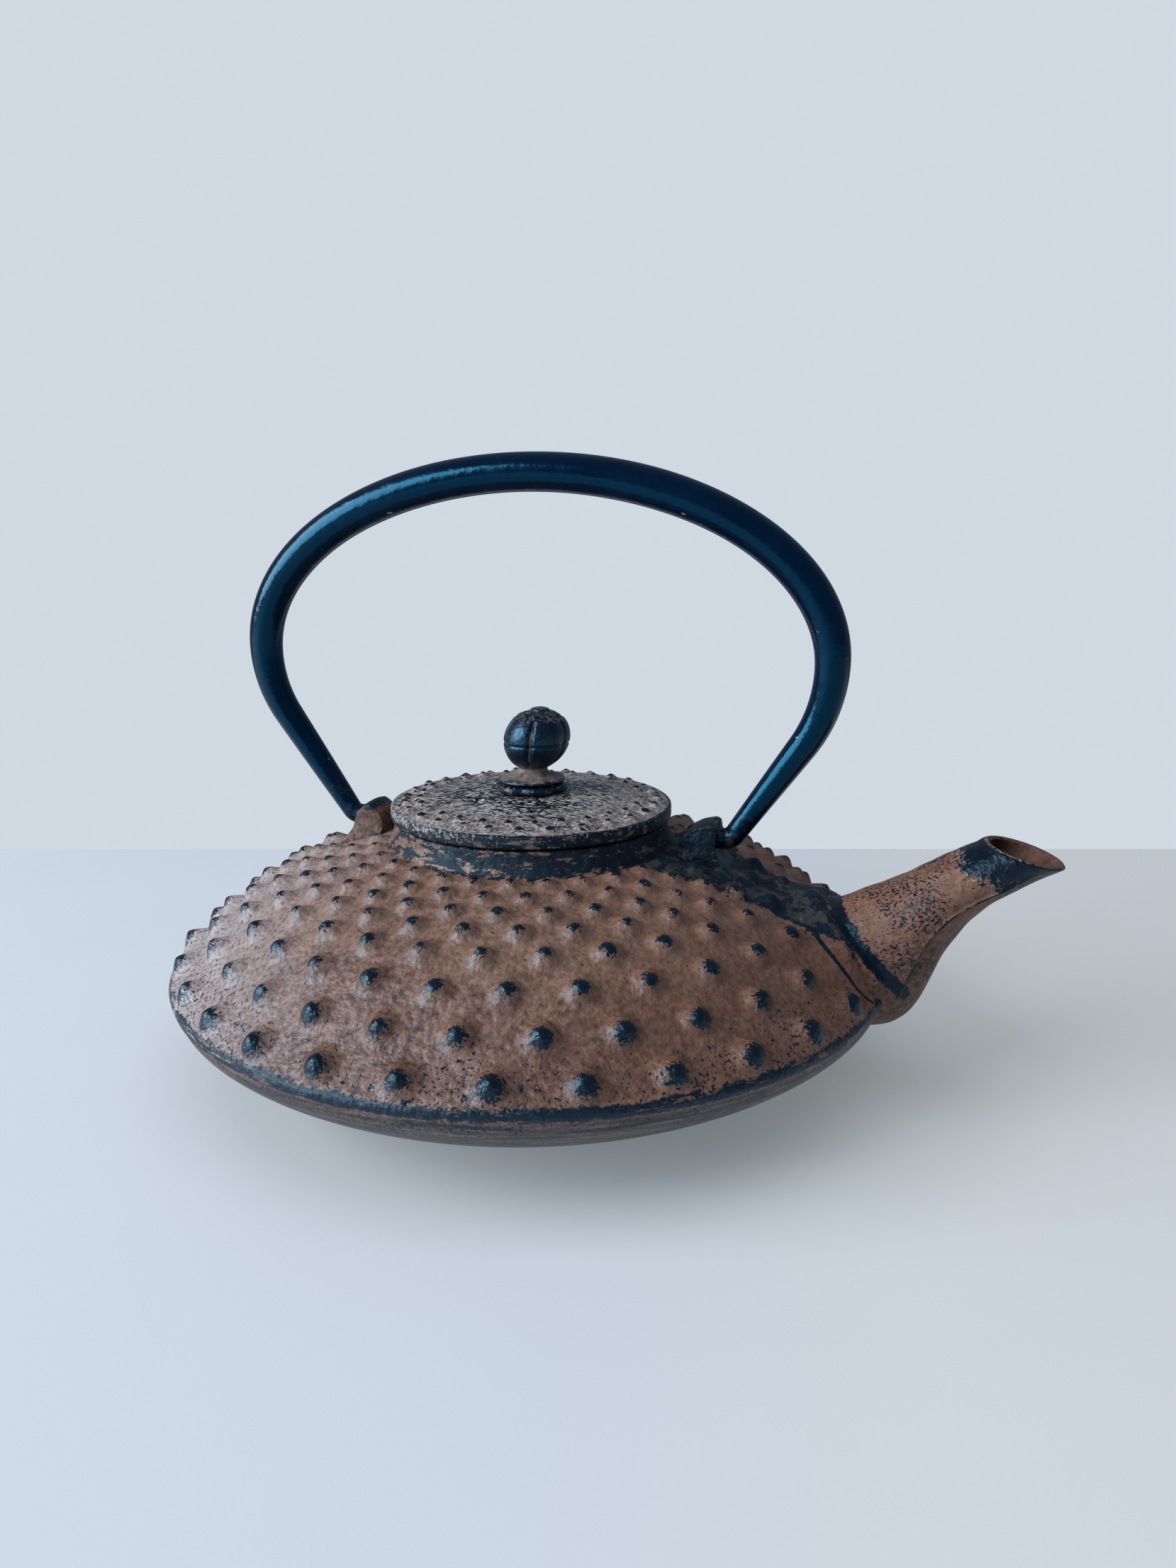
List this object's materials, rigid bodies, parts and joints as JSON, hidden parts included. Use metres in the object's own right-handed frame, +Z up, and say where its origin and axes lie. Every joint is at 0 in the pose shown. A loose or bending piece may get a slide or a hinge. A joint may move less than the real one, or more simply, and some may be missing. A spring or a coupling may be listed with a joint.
{
  "type": "cast iron teapot",
  "caption": "Low round cast iron teapot with a hobnailed shoulder, hollow spout, upright bail handle, lift-off lid with a round knob, and a lift-out tea basket.",
  "frame": {"origin": "centre of the flat foot that the pot stands on", "axes": "+X out along the spout, +Z up, so the bail handle stands in the XZ plane"},
  "size_m": [0.2172, 0.18, 0.1523],
  "materials": {
    "pot_iron": "worn brown lacquer over fine sand-cast iron, satin",
    "spout_iron": "worn pinkish brown lacquer over sand-cast iron, satin",
    "handle_iron": "blue-black lacquer, semi-gloss, few scratches",
    "lid_iron": "grey-beige iron with dark brushed streaks and a worn dark rim",
    "basket_steel": "fine brushed stainless steel"
  },
  "bodies": {
    "pot": {"pot_body": "pot_iron", "spout": "spout_iron", "front_lug": "pot_iron", "rear_lug": "pot_iron"},
    "bail": {"bail_handle": "handle_iron"},
    "infuser": {"infuser_rim": "basket_steel", "infuser_basket": "basket_steel", "infuser_base": "basket_steel"},
    "lid": {"lid": "lid_iron", "knob_seat": "handle_iron", "rivet_washer": "basket_steel"},
    "knob": {"lid_knob": "handle_iron"}
  },
  "joints": [
    {"name": "bail_swing", "type": "hinge", "parent": "pot", "child": "bail", "pos_m": [0, 0, 0.0605], "axis": [1, 0, 0], "range_deg": [-102, 102]},
    {"name": "infuser_lift", "type": "slide", "parent": "pot", "child": "infuser", "axis": [0, 0, 1], "range_m": [0, 0.05]},
    {"name": "lid_lift", "type": "slide", "parent": "infuser", "child": "lid", "axis": [0, 0, 1], "range_m": [0, 0.05]},
    {"name": "knob_turn", "type": "hinge", "parent": "lid", "child": "knob", "pos_m": [0, 0, 0.0833], "axis": [0, 0, 1], "continuous": true}
  ]
}
